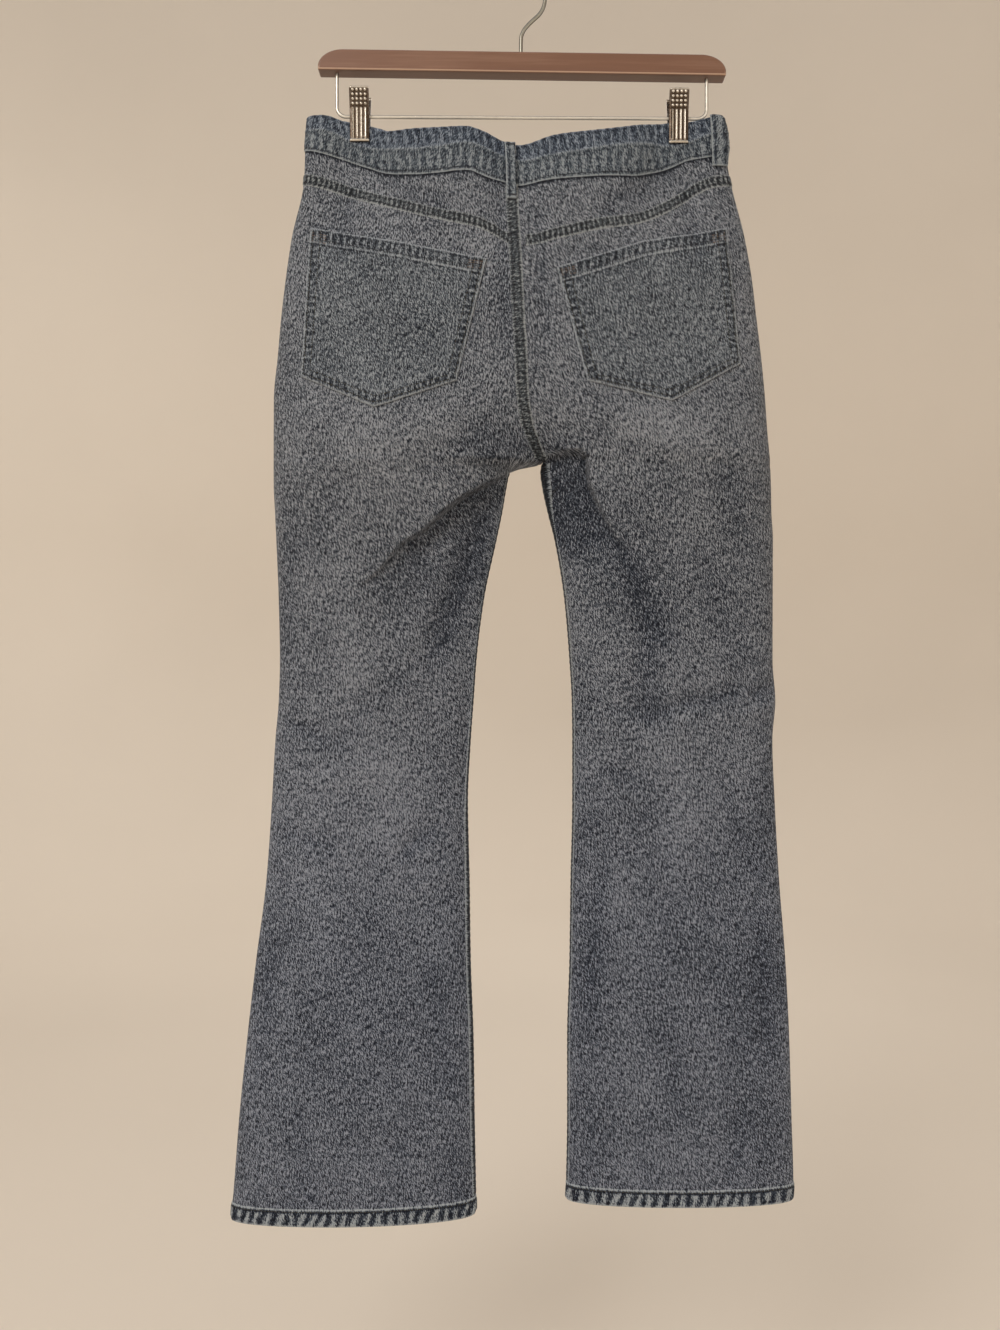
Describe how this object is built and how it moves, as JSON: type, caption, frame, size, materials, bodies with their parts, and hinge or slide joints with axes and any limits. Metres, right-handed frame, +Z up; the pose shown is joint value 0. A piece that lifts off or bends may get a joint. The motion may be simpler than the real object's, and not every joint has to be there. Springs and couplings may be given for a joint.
{
  "type": "straight-leg jeans on a wooden clip hanger",
  "caption": "Straight-leg denim jeans hung by the waistband from a wooden trouser hanger with clips, seen from the back.",
  "frame": {"origin": "seat of the hanger's hook, where a rod or nail carries it", "axes": "+Z up; the back of the jeans faces -Y and the front +Y; +X is the wearer's right"},
  "size_m": [0.4938, 0.0585, 1.0906],
  "materials": {
    "denim": "worn mid-blue twill with faded seat and knees",
    "zip_tape": "dark woven tape",
    "steel": "bright plated wire and pressed clips",
    "wood": "satin stained wood",
    "brass": "aged brass"
  },
  "bodies": {
    "root": {"back_left": "denim", "back_right": "denim", "yoke_left": "denim", "yoke_right": "denim", "front_left": "denim", "front_right": "denim", "pocket_left": "denim", "pocket_right": "denim", "pocket_facing_left": "denim", "pocket_facing_right": "denim", "waistband_left": "denim", "waistband_right": "denim", "belt_loop_back": "denim", "belt_loop_left": "denim", "belt_loop_right": "denim", "belt_loop_front_left": "denim", "belt_loop_front_right": "denim", "fly_lap": "denim", "zip_tape": "zip_tape", "hanger_hook": "steel", "clip_rod": "steel", "clip_left_jaw_back": "steel", "clip_left_jaw_front": "steel", "clip_left_barrel": "steel", "clip_right_jaw_back": "steel", "clip_right_jaw_front": "steel", "clip_right_barrel": "steel", "hanger_bar": "wood", "button": "brass", "zip_slider": "brass"}
  },
  "joints": []
}
